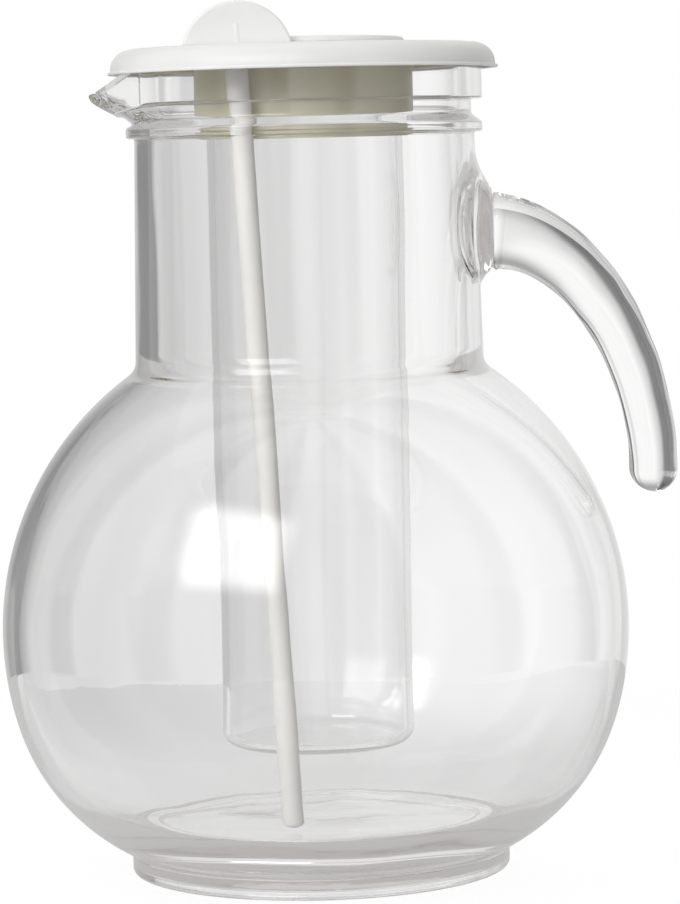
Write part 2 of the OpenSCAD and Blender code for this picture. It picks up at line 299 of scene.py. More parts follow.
@dataclass
class GlassJug:
    """Glass body with its foot, bowl, neck, stepped mouth, pouring lip and fused handle."""

    bowl_r: float = 83.46
    bowl_z: float = 64.71
    bowl_wall: float = 3.0
    heel_x: float = 25.32
    heel_drop: float = 7.88
    foot_r: float = 50.5
    foot_round: float = 1.4
    notch_r: float = 1.0
    rest_w: float = 6.2
    recess_h: float = 2.2
    base_t: float = 12.0
    floor_turn: float = 34.4
    neck_low_r: float = 46.3
    neck_top_r: float = 45.0
    neck_bore_r: float = 41.2
    neck_in_r: float = 40.5
    neck_from: float = 66.0
    bore_round: float = 12.0
    shoulder_z: float = 134.2
    shoulder_round: float = 5.0
    inner_round: float = 10.0
    ring_r: float = 47.2
    ring_z: float = 195.5
    ring_h: float = 2.6
    ring_slope_h: float = 2.2
    waist_r: float = 44.3
    band_r: float = 47.2
    band_z: float = 204.2
    rim_z: float = 216.5
    rim_round: float = 1.6
    lip_reach: float = 9.6
    lip_rise: float = 3.0
    lip_wall: float = 1.7
    lip_slope: float = 29.0
    lip_fall: float = 0.46
    lip_soft: float = 0.9
    lip_solid: float = 4.6
    lip_round: float = 2.0
    lip_over: float = 1.2
    lip_inset: float = 0.4
    lip_tip_r: float = 3.2
    lip_bore_tip_r: float = 3.0
    lip_root_z: float = 198.6
    pad_x: float = 48.9
    pad_r: float = 11.2
    pad_low_r: float = 44.9
    pad_flare: tuple[float, float, float] = (12.0, 8.0, 7.0)
    pad_z: float = 170.0
    pad_ripple: float = 0.22
    pad_wave: float = 5.0
    hook_ripple: float = 0.3
    hook_wave: float = 9.0
    hook_steps: int = 100
    handle_z: float = 169.0
    handle_reach: float = 42.2
    handle_drop: float = 64.0
    handle_bend: float = 1.9
    root_h: float = 20.8
    root_w: float = 17.5
    tip_h: float = 12.8
    tip_w: float = 12.6
    ripple: float = 0.3
    ripple_wave: float = 26.0
    crowd: float = 0.45
    steps: int = 232
    sides: int = 96
    step: float = 2.3

    @property
    def heel_z(self) -> float:
        """Height of the centre of the heel's arc."""
        return self.bowl_z - self.heel_drop

    @property
    def heel_r(self) -> float:
        """Radius of the heel's arc, which runs into the bowl without a corner."""
        return self.bowl_r - math.hypot(self.heel_x, self.heel_drop)

    def shoulder(self, bowl_r: float, neck_r: float, taper: float, reach: float,
                 ) -> tuple[Vector, float, float]:
        """Hollow curve between a bowl and the neck that rises from it.

        Args:
            bowl_r: Radius of the bowl's skin.
            neck_r: Radius of the neck's skin where the two would cross.
            taper: Angle in radians by which the neck narrows upwards.
            reach: Radius of the curve.

        Returns:
            The curve's centre, and its angles at the bowl and at the neck.
        """
        out = Vector((math.cos(taper), math.sin(taper)))
        up = Vector((-math.sin(taper), math.cos(taper)))
        base = Vector((neck_r, math.sqrt(bowl_r ** 2 - neck_r ** 2))) + reach * out
        along = base.dot(up)
        rest = base.dot(base) - (bowl_r + reach) ** 2
        from_bowl = base + (math.sqrt(along * along - rest) - along) * up
        to_bowl = math.atan2(-from_bowl.y, -from_bowl.x)
        to_neck = math.atan2(-out.y, -out.x)
        centre = Vector((0.0, self.bowl_z)) + from_bowl
        return centre, to_bowl % math.tau, to_neck % math.tau

    def outer_points(self) -> list[Vector]:
        """Outside of the half section, from under the base up to the rim's top.

        Returns:
            The points in order.
        """
        taper = math.atan((self.neck_low_r - self.neck_top_r) / (self.ring_z - self.shoulder_z))
        heel = Vector((self.heel_x, self.heel_z))
        bowl = Vector((0.0, self.bowl_z))
        notch = self.notch_r
        notch_c = Vector((self.foot_r + notch, self.heel_z - math.sqrt(
            (self.heel_r + notch) ** 2 - (self.foot_r + notch - self.heel_x) ** 2)))
        to_heel = heel - notch_c
        join = math.atan2(self.heel_drop, self.heel_x)
        rest_r = self.foot_r - self.rest_w
        points = rounded_chain([
            Corner(0.0, self.recess_h), Corner(rest_r, self.recess_h, 1.0),
            Corner(rest_r, 0.0, 0.9), Corner(self.foot_r, 0.0, self.foot_round),
            Corner(self.foot_r, notch_c.y - 0.3)], self.step)
        points += arc(notch_c, notch, math.pi, math.atan2(to_heel.y, to_heel.x), 0.35)
        points += arc(heel, self.heel_r, math.atan2(-to_heel.y, -to_heel.x), -join, self.step)[1:]
        centre, low, high = self.shoulder(self.bowl_r, self.neck_low_r, taper, self.shoulder_round)
        bowl_end = math.atan2(centre.y - self.bowl_z, centre.x)
        points += arc(bowl, self.bowl_r, -join, bowl_end, self.step)[1:]
        points += arc(centre, self.shoulder_round, low, high, 0.7)[1:]
        slope_z = self.ring_z + self.ring_h + self.ring_slope_h
        points += rounded_chain([
            Corner(points[-1].x, points[-1].y), Corner(self.neck_top_r, self.ring_z, 0.6),
            Corner(self.ring_r, self.ring_z, 0.8),
            Corner(self.ring_r, self.ring_z + self.ring_h, 0.9),
            Corner(self.waist_r, slope_z, 1.4), Corner(self.waist_r, self.band_z, 0.6),
            Corner(self.band_r, self.band_z, 0.55), Corner(self.band_r, self.rim_z, self.rim_round),
            Corner((self.band_r + self.neck_bore_r) / 2, self.rim_z)], self.step)[1:]
        return points

    def inner_points(self) -> list[Vector]:
        """Inside of the half section, from the rim's top down to the middle of the floor.

        Returns:
            The points in order.
        """
        bowl_r, heel_r = self.bowl_r - self.bowl_wall, self.heel_r - self.bowl_wall
        centre, low, high = self.shoulder(bowl_r, self.neck_in_r, 0.0, self.inner_round)
        join = math.atan2(self.heel_drop, self.heel_x)
        turn = math.radians(self.floor_turn)
        end_z = self.heel_z - heel_r * math.sin(turn)
        floor_arc = (end_z - self.base_t) / (1.0 - math.sin(turn))
        floor_c = Vector((self.heel_x + (heel_r - floor_arc) * math.cos(turn),
                          self.base_t + floor_arc))
        points = rounded_chain([
            Corner((self.band_r + self.neck_bore_r) / 2, self.rim_z),
            Corner(self.neck_bore_r, self.rim_z, self.rim_round),
            Corner(self.neck_bore_r, self.band_z + 1.0, self.bore_round),
            Corner(self.neck_in_r, self.ring_z - 1.5, self.bore_round),
            Corner(self.neck_in_r, centre.y)], self.step)[1:]
        points += arc(centre, self.inner_round, high, low, 0.7)[1:]
        bowl_end = math.atan2(centre.y - self.bowl_z, centre.x)
        points += arc(Vector((0.0, self.bowl_z)), bowl_r, bowl_end, -join, self.step)[1:]
        points += arc(Vector((self.heel_x, self.heel_z)), heel_r, -join, -turn, self.step)[1:]
        points += arc(floor_c, floor_arc, -turn, -math.pi / 2, self.step)[1:]
        return points + straight(points[-1], Vector((0.0, self.base_t)), self.step)

    def draw_lip(self, place: Vector) -> Vector:
        """Where a point of the turned mouth goes when the pouring lip is drawn out of it.

        Args:
            place: The point before, in millimetres.

        Returns:
            The point after.
        """
        r = math.hypot(place.x, place.y)
        angle = math.atan2(place.y, -place.x)
        tip_x, tip_z = self.band_r + self.lip_reach, self.lip_tip_z
        across = self.band_r * math.sin(angle)
        dip_z = tip_z + self.lip_fall * (math.hypot(across, self.lip_round) - self.lip_round)
        over = self.lip_over
        rim_z = self.rim_z - over * math.log1p(math.exp((self.rim_z - dip_z) / over))
        squash = (rim_z - self.lip_root_z) / (self.rim_z - self.lip_root_z)
        z = self.lip_root_z + (place.z - self.lip_root_z) * squash
        outside = smoothstep(self.neck_bore_r + 1.0, self.band_r - 1.8, r)
        slope = math.tan(math.radians(self.lip_slope))
        outer_plan = LipPlan(self.band_r - self.lip_inset, self.lip_tip_r, tip_x)
        inner_plan = LipPlan(self.neck_bore_r - self.lip_inset, self.lip_bore_tip_r,
                             tip_x - self.lip_solid)
        outer = soft_least(outer_plan.radius(angle), tip_x - (tip_z - self.lip_wall - z) / slope,
                           self.lip_soft)
        inner = soft_least(inner_plan.radius(angle), inner_plan.tip_x - (tip_z - z) / slope,
                           self.lip_soft / 2)
        fade_out = 1.0 - smoothstep(outer_plan.turn * 0.66, outer_plan.turn, abs(angle))
        fade_in = 1.0 - smoothstep(inner_plan.turn * 0.8, inner_plan.turn, abs(angle))
        outer_part = (max(r, outer) - r) * fade_out * outside
        inner_part = (max(r, inner) - r) * fade_in * (1 - outside)
        scale = (r + (outer_part + inner_part)) / r
        return Vector((place.x * scale, place.y * scale, z))

    @property
    def lip_tip_z(self) -> float:
        """Height of the upper edge of the lip's tip."""
        return self.band_z + self.lip_rise

    def body(self) -> bpy.types.Object:
        """The turned glass with its lip drawn out and its inner wall faintly uneven.

        Returns:
            The object, in millimetres.
        """
        bm = turned(self.outer_points() + self.inner_points(), self.steps)
        for vert in bm.verts:
            r = math.hypot(vert.co.x, vert.co.y)
            if r < 1e-3:
                continue
            angle = math.atan2(vert.co.y, -vert.co.x)
            angle -= self.crowd * math.sin(angle)  # more faces at the lip than at the back
            vert.co.x, vert.co.y = -r * math.cos(angle), r * math.sin(angle)
            at_lip = abs(angle) < math.pi / 2 and r > self.neck_bore_r - 1
            if vert.co.z > self.lip_root_z and at_lip:
                vert.co = self.draw_lip(vert.co)
            elif self.is_inside(r, vert.co.z):
                place = Vector((vert.co.x, vert.co.y, vert.co.z * 0.6))
                wave = noise.noise(place / self.ripple_wave)
                fade = smoothstep(self.lip_root_z, self.lip_root_z - 20, vert.co.z)
                push = self.ripple * wave * fade
                vert.co.x += push * vert.co.x / r
                vert.co.y += push * vert.co.y / r
                if vert.co.z < self.base_t + 6:
                    vert.co.z += 1.6 * push
        bmesh.ops.recalc_face_normals(bm, faces=bm.faces)
        return as_object(bm, "glass_pitcher")

    def is_inside(self, r: float, z: float) -> bool:
        """Whether a point of the skin belongs to the inner wall or the floor.

        Args:
            r: Distance of the point from the axis.
            z: Its height.

        Returns:
            True where it does.
        """
        if z < self.base_t - 1.0:
            return False
        if z > self.bowl_z + self.neck_from:
            return r < self.neck_bore_r + 1.0
        return math.hypot(r, z - self.bowl_z) < self.bowl_r - 1.5 and (
            z > self.heel_z - 8 or math.hypot(r - self.heel_x, z - self.heel_z) < self.heel_r - 1.0)

    def hook_station(self, u: float) -> Matrix:
        """Place and section of the handle.

        Args:
            u: Way along the handle, from 0 at the pad to 1 at the tip.

        Returns:
            A matrix that takes a unit circle to the section there.
        """
        def middle(at: float) -> Vector:
            """Point of the handle's middle line.

            Args:
                at: Way along the handle.

            Returns:
                The point.
            """
            power = 2.0 / self.handle_bend
            angle = min(max(at, 0.0), 1.0) * math.pi / 2
            down = 1.0 - max(0.0, math.cos(angle)) ** power
            return Vector((self.pad_x + self.handle_reach * math.sin(angle) ** power, 0.0,
                           self.handle_z - self.handle_drop * down))

        ahead = (middle(u + 0.004) - middle(u - 0.004)).normalized()
        if u < 0.004:
            ahead = Vector((1.0, 0.0, 0.0))
        if u > 0.996:
            ahead = Vector((0.0, 0.0, -1.0))
        ease = (1.0 - u) ** 1.8
        half_h = (self.tip_h + (self.root_h - self.tip_h) * ease) / 2
        half_w = (self.tip_w + (self.root_w - self.tip_w) * ease) / 2
        return section(middle(u), ahead, half_h, half_w)

    def handle(self) -> bpy.types.Object:
        """The pad and the hook as one closed skin, whose start lies within the neck's wall.

        Returns:
            The object, in millimetres.
        """
        wall_r = (self.neck_in_r + self.neck_low_r) / 2
        along = Vector((1.0, 0.0, 0.0))
        stations: list[Matrix] = []

        def ring_at(x: float, z: float, half_h: float, half_w: float) -> None:
            """Adds an upright section."""
            stations.append(section(Vector((x, 0.0, z)), along, half_h, half_w))

        def flare(length: float, x: float) -> float:
            """How far the pad's hollow run-out stands past the pad.

            Args:
                length: How far it does at the wall.
                x: Way out from the axis.

            Returns:
                The distance.
            """
            deep = self.pad_x - self.pad_low_r
            bend = (length ** 2 + deep ** 2) / (2 * deep)
            return length - math.sqrt(bend ** 2 - (bend - max(0.0, x - self.pad_low_r)) ** 2)

        for r in (0.5, 6.0, 12.0):
            ring_at(wall_r, self.pad_z, r, r)
        for i in range(15):
            x = wall_r + (self.pad_x - 0.45 - wall_r) * i / 14
            above, below, beside = (flare(length, x) for length in self.pad_flare)
            ring_at(x, self.pad_z + (above - below) / 2, self.pad_r + (above + below) / 2,
                    self.pad_r + beside)
        for off, share in ((-0.22, 0.985), (0.0, 0.955), (0.2, 0.95)):
            ring_at(self.pad_x + off, self.pad_z, self.pad_r * share, self.pad_r * share)
        for off, share in ((0.4, 0.93), (0.65, 0.962), (0.95, 0.985), (1.4, 0.997)):
            ring_at(self.pad_x + off, self.handle_z, self.root_h / 2 * share,
                    self.root_w / 2 * share)
        stations += [self.hook_station(i / self.hook_steps) for i in range(5, self.hook_steps + 1)]
        tip = Vector((self.pad_x + self.handle_reach, 0.0, self.handle_z - self.handle_drop))
        for i in range(1, 15):
            a = math.pi / 2 * i / 14.02
            place = tip - Vector((0.0, 0.0, self.tip_h / 2 * math.sin(a)))
            stations.append(section(place, Vector((0.0, 0.0, -1.0)), self.tip_h / 2 * math.cos(a),
                                    self.tip_w / 2 * math.cos(a)))
        bm = bmesh.new()
        ring = bmesh.ops.create_circle(bm, cap_ends=False, radius=1.0, segments=self.sides)["verts"]
        edges = list(bm.edges)
        bmesh.ops.contextual_create(bm, geom=edges)
        placed = Matrix.Identity(4)
        for station in stations:
            if placed != Matrix.Identity(4):
                grown = bmesh.ops.extrude_edge_only(bm, edges=edges)["geom"]
                ring = [g for g in grown if isinstance(g, bmesh.types.BMVert)]
                edges = [g for g in grown if isinstance(g, bmesh.types.BMEdge)]
            bmesh.ops.transform(bm, matrix=station @ placed.inverted(), verts=ring)
            placed = station
        bmesh.ops.contextual_create(bm, geom=edges)
        for vert in bm.verts:
            free = smoothstep(wall_r, self.pad_x - 0.3, vert.co.x)
            vert.co.x -= (1.0 - free) * (wall_r - math.sqrt(max(0.0, wall_r ** 2 - vert.co.y ** 2)))
            if vert.co.x > self.pad_low_r:
                wave = noise.noise_vector(vert.co * Vector((1.0, 1.0, 0.35)) / self.pad_wave)
                at_pad = smoothstep(self.pad_x, self.pad_x - 3, vert.co.x)
                vert.co += wave * self.pad_ripple * at_pad
                wave = noise.noise_vector(vert.co / self.hook_wave)
                at_hook = smoothstep(self.pad_x + 8, self.pad_x + 30, vert.co.x)
                vert.co += wave * self.hook_ripple * at_hook
        bmesh.ops.recalc_face_normals(bm, faces=bm.faces)
        return as_object(bm, "handle_blank")

    def build(self, material: bpy.types.Material) -> bpy.types.Object:
        """Makes the glass in one piece and dresses it.

        Args:
            material: The glass.

        Returns:
            The piece.
        """
        glass = self.body()
        join_solids(glass, self.handle(), "UNION")
        return finish_piece(glass, material, Body.JUG, ("glass_jug", "glass_handle"))


def section(place: Vector, ahead: Vector, half_h: float, half_w: float) -> Matrix:
    """Matrix that takes a unit circle to an ellipse square to a line in the plane of the handle.

    Args:
        place: Centre of the ellipse.
        ahead: Direction of the line, with no part along Y.
        half_h: Half size in the plane of the handle.
        half_w: Half size along Y.

    Returns:
        The matrix.
    """
    across = Vector((-ahead.z, 0.0, ahead.x))
    rows = Matrix((across * half_h, Vector((0.0, half_w, 0.0)), -ahead)).transposed()
    return Matrix.Translation(place) @ rows.to_4x4()


@dataclass
class IceTube:
    """Clear tube for ice that hangs from the lid's collar."""

    outer_r: float = 25.9
    wall: float = 1.8
    base_z: float = 33.5
    top_z: float = 216.5
    edge: float = 4.0
    steps: int = 144

    def build(self, material: bpy.types.Material) -> bpy.types.Object:
        """Turns the tube and dresses it.

        Args:
            material: The clear plastic.

        Returns:
            The piece.
        """
        inner = self.outer_r - self.wall
        outline = rounded_chain([
            Corner(0.0, self.base_z), Corner(self.outer_r, self.base_z, self.edge),
            Corner(self.outer_r, self.top_z, 0.4), Corner(inner, self.top_z, 0.4),
            Corner(inner, self.base_z + self.wall, self.edge - self.wall),
            Corner(0.0, self.base_z + self.wall)], 3.0)
        tube = as_object(turned(outline, self.steps), "ice_tube_clear")
        return finish_piece(tube, material, Body.ICE_TUBE, ("ice_tube",))


@dataclass
class Stirrer:
    """Rod that leans through the lid, with a round finger grip that stands on the lid."""

    x: float = -16.639
    y: float = -29.409
    lid_z: float = 218.9
    lean: float = 2.7
    rod_r: float = 2.75
    rod_len: float = 205.625
    rib_h: float = 6.5
    rib_r: float = 1.68
    grip_r: float = 14.46
    grip_sink: float = 3.2
    grip_t: float = 3.0
    rod_fit: float = 0.4
    hole_half: float = 9.0
    sides: int = 40

    def along_rod(self) -> Matrix:
        """Matrix that takes +Z to the rod, with its zero at the lid's upper face."""
        turn = Matrix.Rotation(-math.radians(self.lean), 4, "Y")
        return Matrix.Translation((self.x, self.y, self.lid_z)) @ turn

    def hole(self) -> bpy.types.Object:
        """Cutter for the rod's hole in the lid.

        Returns:
            The object, in millimetres.
        """
        r, end = self.rod_r + self.rod_fit, self.hole_half
        bm = turned(rounded_chain([Corner(0.0, -end), Corner(r, -end, 0.1), Corner(r, end, 0.1),
                                   Corner(0.0, end)], 6.0), self.sides)
        bmesh.ops.transform(bm, matrix=self.along_rod(), verts=bm.verts)
        return as_object(bm, "rod_hole")

    def rod(self) -> bpy.types.Object:
        """The rod and the slim rib that carries it up the grip, with round ends.

        Returns:
            The object, in millimetres.
        """
        top, low = self.rib_h, -self.rod_len
        bm = turned(rounded_chain([
            Corner(0.0, low), Corner(self.rod_r, low, self.rod_r - 0.05),
            Corner(self.rod_r, 0.0, 0.3), Corner(self.rib_r, 0.6, 0.3),
            Corner(self.rib_r, top, self.rib_r - 0.05), Corner(0.0, top)], 5.0), self.sides)
        bmesh.ops.transform(bm, matrix=self.along_rod(), verts=bm.verts)
        return as_object(bm, "rod_blank")

    def grip(self) -> bpy.types.Object:
        """The finger grip: a disc cut level at its base, with softened edges.

        Returns:
            The object, in millimetres.
        """
        bm = bmesh.new()
        bmesh.ops.create_circle(bm, cap_ends=True, radius=self.grip_r, segments=144)
        grown = bmesh.ops.extrude_face_region(bm, geom=bm.faces[:])["geom"]
        bmesh.ops.translate(bm, vec=(0.0, 0.0, self.grip_t),
                            verts=[g for g in grown if isinstance(g, bmesh.types.BMVert)])
        bmesh.ops.recalc_face_normals(bm, faces=bm.faces)
        rims = [e for e in bm.edges if abs(e.verts[0].co.z - e.verts[1].co.z) < 1e-5]
        bmesh.ops.bevel(bm, geom=rims, offset=0.55, affect="EDGES", segments=4, profile=0.5,
                        material=-1, offset_type="OFFSET")
        cut = bmesh.ops.bisect_plane(bm, geom=bm.verts[:] + bm.edges[:] + bm.faces[:],
                                     plane_co=(0.0, self.grip_sink, 0.0), plane_no=(0.0, 1.0, 0.0),
                                     clear_inner=True)["geom_cut"]
        bmesh.ops.contextual_create(bm, geom=[g for g in cut if isinstance(g, bmesh.types.BMEdge)])
        stand = Matrix.Translation((self.x, self.y + self.grip_t / 2, self.lid_z - self.grip_sink))
        bmesh.ops.transform(bm, matrix=stand @ Matrix.Rotation(math.pi / 2, 4, "X"), verts=bm.verts)
        bmesh.ops.recalc_face_normals(bm, faces=bm.faces)
        return as_object(bm, "stirrer_white")

    def build(self, material: bpy.types.Material) -> bpy.types.Object:
        """Unites the grip with the rod and dresses them.

        Args:
            material: The white plastic.

        Returns:
            The piece.
        """
        stirrer = self.grip()
        join_solids(stirrer, self.rod(), "UNION")
        return finish_piece(stirrer, material, Body.STIRRER, ("stirrer",),
                            sharp=35.0, flat=0.9999)


@dataclass
class Lid:
    """White lid with a turned-down edge, a raised middle, a ring in the mouth and a collar."""

    rim_z: float = 216.5
    plate_t: float = 2.4
    edge_r: float = 50.9
    edge_round: float = 5.5
    skirt_h: float = 4.2
    skirt_t: float = 1.6
    skirt_lip: float = 0.7
    crown_r: float = 27.0
    crown_h: float = 2.0
    spigot_r: float = 40.4
    spigot_t: float = 1.8
    spigot_h: float = 3.8
    collar_bore_r: float = 25.98
    collar_t: float = 3.0
    collar_h: float = 22.5
    collar_step_h: float = 2.4
    steps: int = 200

    def outline(self) -> list[Vector]:
        """Half section, from the middle of the top round to the middle of the underside.

        Returns:
            The points in order.
        """
        top, under = self.rim_z + self.plate_t, self.rim_z
        low = self.rim_z - self.skirt_h
        skirt_in = self.edge_r - self.skirt_t
        spigot_in, spigot_z = self.spigot_r - self.spigot_t, self.rim_z - self.spigot_h
        bore, collar_r = self.collar_bore_r, self.collar_bore_r + self.collar_t
        step_r, step_z = bore + self.collar_t / 2, self.rim_z - self.collar_h + self.collar_step_h
        collar_z = self.rim_z - self.collar_h
        return rounded_chain([
            Corner(0.0, top + self.crown_h), Corner(self.crown_r, top + self.crown_h, 1.3),
            Corner(self.crown_r, top, 0.6), Corner(self.edge_r, top, self.edge_round),
            Corner(self.edge_r, low + self.skirt_lip, 0.25),
            Corner(self.edge_r + self.skirt_lip, low + self.skirt_lip, 0.2),
            Corner(self.edge_r + self.skirt_lip, low, 0.25), Corner(skirt_in, low, 0.4),
            Corner(skirt_in, under, 0.7), Corner(self.spigot_r, under, 0.5),
            Corner(self.spigot_r, spigot_z, 0.5), Corner(spigot_in, spigot_z, 0.5),
            Corner(spigot_in, under, 0.5), Corner(collar_r, under, 0.7),
            Corner(collar_r, step_z, 0.35), Corner(step_r, step_z, 0.3),
            Corner(step_r, collar_z, 0.35), Corner(bore, collar_z, 0.35),
            Corner(bore, under, 0.4), Corner(0.0, under)], 2.6)

    def build(self, material: bpy.types.Material, stirrer: Stirrer) -> bpy.types.Object:
        """Turns the lid, cuts the rod's hole and dresses it.

        Args:
            material: The white plastic.
            stirrer: Stirrer whose rod passes through the lid.

        Returns:
            The piece.
        """
        lid = as_object(turned(self.outline(), self.steps), "lid_white")
        join_solids(lid, stirrer.hole(), "DIFFERENCE")
        return finish_piece(lid, material, Body.LID, ("lid",), sharp=40.0)


Inputs = Iterable[tuple[str | int, object]] | dict[str | int, object]
Sockets = tuple[tuple[str, str], ...]


class Wiring:
    """Short ways to place and link the nodes of one tree."""

    def __init__(self, tree: bpy.types.NodeTree) -> None:
        """Starts from an emptied tree."""
        self.tree = tree
        tree.nodes.clear()

    def node(self, kind: str, inputs: Inputs = (), **settings: object) -> bpy.types.Node:
        """Adds a node.

        Args:
            kind: Type of the node.
            inputs: What its inputs get, by name or number: an output or a plain value.
            settings: Its properties by name.

        Returns:
            The node.
        """
        made = self.tree.nodes.new(kind)
        for name, value in settings.items():
            setattr(made, name, value)
        for key, value in dict(inputs).items():
            if isinstance(value, bpy.types.NodeSocket):
                self.tree.links.new(value, made.inputs[key])
            else:
                made.inputs[key].default_value = value
        return made

    def math(self, operation: str, *values: object, clamp: bool = False) -> bpy.types.NodeSocket:
        """Output of a new Math node.

        Args:
            operation: What the node works out.
            values: Its operands.
            clamp: Whether the result is kept between 0 and 1.

        Returns:
            The output.
        """
        made = self.node("ShaderNodeMath", enumerate(values), operation=operation, use_clamp=clamp)
        return made.outputs[0]

    def ramp(self, value: object, low: float, high: float, start: float, end: float,
             ) -> bpy.types.NodeSocket:
        """Output that eases from one level to another as a value grows.

        Args:
            value: The value.
            low: The value at which the easing begins.
            high: The value at which it is over.
            start: Level at the beginning.
            end: Level at the end.

        Returns:
            The output.
        """
        made = self.node("ShaderNodeMapRange", {
            "Value": value, "From Min": low, "From Max": high, "To Min": start, "To Max": end,
        }, interpolation_type="SMOOTHSTEP")
        return made.outputs["Result"]

    def choose(self, which: object, if_not: object, if_so: object) -> bpy.types.NodeSocket:
        """Output that is one value where a mask is 0 and another where it is 1."""
        inputs = {"Factor": which, "A": if_not, "B": if_so}
        return self.node("ShaderNodeMix", inputs, data_type="FLOAT").outputs["Result"]

    def blend(self, which: object, if_not: object, if_so: object) -> bpy.types.NodeSocket:
        """Shader that is one where a mask is 0 and another where it is 1."""
        made = self.node("ShaderNodeMixShader", enumerate((which, if_not, if_so)))
        return made.outputs["Shader"]

    def clouds(self, vector: object, scale: object, detail: float) -> bpy.types.NodeSocket:
        """Grey output of a new Noise Texture node."""
        inputs = {"Vector": vector, "Scale": scale, "Detail": detail}
        return self.node("ShaderNodeTexNoise", inputs).outputs["Fac"]

    def split(self, vector: object) -> list[bpy.types.NodeSocket]:
        """The three outputs of a new Separate XYZ node."""
        return list(self.node("ShaderNodeSeparateXYZ", {0: vector}).outputs)


def start_group(name: str, inputs: Sockets, outputs: Sockets) -> tuple[Wiring, bpy.types.Node]:
    """Starts a node group.

    Args:
        name: Name of the group.
        inputs: Name and kind of each input.
        outputs: Name and kind of each output.

    Returns:
        The group's wiring and the node that holds its inputs.
    """
    tree = bpy.data.node_groups.new(name, "ShaderNodeTree")
    for way, sockets in (("INPUT", inputs), ("OUTPUT", outputs)):
        for label, kind in sockets:
            tree.interface.new_socket(label, in_out=way, socket_type=f"NodeSocket{kind}")
    w = Wiring(tree)
    return w, w.node("NodeGroupInput")


def start_material(name: str) -> tuple[bpy.types.Material, Wiring]:
    """Starts a material.

    Args:
        name: Name of the material.

    Returns:
        The material and its wiring.
    """
    made = bpy.data.materials.new(name)
    made.use_nodes = True
    return made, Wiring(made.node_tree)


def ripple_group() -> bpy.types.NodeTree:
    """Node group for the faint waves of a poured or moulded clear wall.

    Returns:
        The group, which puts out a height.
    """
    w, given = start_group(
        "clear_wall_ripple", (("Vector", "Vector"), ("Waves", "Float"), ("Streaks", "Float")),
        (("Height", "Float"),))
    place = given.outputs["Vector"]
    waves = w.clouds(place, given.outputs["Waves"], 1.0)
    flat = w.node("ShaderNodeMapping", {"Vector": place, "Scale": (1.0, 1.0, 0.25)})
    streaks = w.clouds(flat.outputs["Vector"], given.outputs["Streaks"], 2.0)
    w.node("NodeGroupOutput", {"Height": w.math("MULTIPLY_ADD", streaks, 0.3, waves)})
    return w.tree


def grain_group() -> bpy.types.NodeTree:
    """Node group for a white moulding's skin: grain, faint mottle, rubbed patches, and painted
    shade under the lid.

    Returns:
        The group, which puts out a colour, a roughness and a height.
    """
    w, given = start_group(
        "moulded_grain",
        (("Vector", "Vector"), ("Colour", "Color"), ("Inside", "Color"), ("Roughness", "Float"),
         ("Grain", "Float")),
        (("Colour", "Color"), ("Roughness", "Float"), ("Height", "Float")))
    place = given.outputs["Vector"]
    mottle = w.clouds(place, 38.0, 3.0)
    x, y, z = w.split(place)
    far = w.math("SQRT", w.math("ADD", w.math("POWER", x, 2.0), w.math("POWER", y, 2.0)))
    # Painted shade: below the lid's top and within its ring the colour eases to the darker, warmer
    # Inside colour.
    within = w.math("MULTIPLY", w.ramp(far, *UNDER_LID_SHADE_R, 1.0, 0.0), w.ramp(z, *UNDER_LID_SHADE_Z, 1.0, 0.0))
    base = w.node("ShaderNodeMix", {
        "Factor": within, 6: given.outputs["Colour"], 7: given.outputs["Inside"],
    }, data_type="RGBA")
    tone = w.node("ShaderNodeHueSaturation", {
        "Color": base.outputs[2], "Value": w.ramp(mottle, 0.3, 0.7, 0.975, 1.01)})
    rubbed = w.ramp(mottle, 0.35, 0.7, -0.05, 0.07)
    w.node("NodeGroupOutput", {
        "Colour": tone.outputs["Color"],
        "Roughness": w.math("ADD", given.outputs["Roughness"], rubbed, clamp=True),
        "Height": w.clouds(place, given.outputs["Grain"], 2.0)})
    return w.tree


@dataclass(frozen=True)
class ClearFinish:
    """A clear finish, of glass or of moulded plastic."""

    name: str
    tint: Colour
    ior: float
    shade: Colour
    absorbed: Colour
    density: float
    waves: float
    streaks: float
    depth: float

    def material(self, ripple: bpy.types.NodeTree) -> bpy.types.Material:
        """Builds the material.

        Args:
            ripple: Node group for the waves of a clear wall.

        Returns:
            The material.
        """
        made, w = start_material(self.name)
        coords = w.node("ShaderNodeTexCoord")
        group = w.node("ShaderNodeGroup", {
            "Vector": coords.outputs["Object"], "Waves": self.waves, "Streaks": self.streaks,
        }, node_tree=ripple)
        bump = w.node("ShaderNodeBump", {
            "Strength": 1.0, "Distance": self.depth * MM, "Height": group.outputs["Height"]})
        skin = w.node("ShaderNodeBsdfPrincipled", {
            "Base Color": (*self.tint, 1.0), "Roughness": 0.0, "IOR": self.ior,
            "Transmission Weight": 1.0, "Normal": bump.outputs["Normal"]})
        path = w.node("ShaderNodeLightPath")
        through = w.node("ShaderNodeBsdfTransparent", {"Color": (*self.shade, 1.0)})
        spent = w.math("GREATER_THAN", path.outputs["Glossy Depth"], SPENT_BOUNCES)
        passed = w.math("MAXIMUM", path.outputs["Is Shadow Ray"], spent)
        body = w.node("ShaderNodeVolumeAbsorption", {
            "Color": (*self.absorbed, 1.0), "Density": self.density})
        w.node("ShaderNodeOutputMaterial", {
            "Surface": w.blend(passed, skin.outputs["BSDF"], through.outputs["BSDF"]),
            "Volume": body.outputs["Volume"]})
        return made


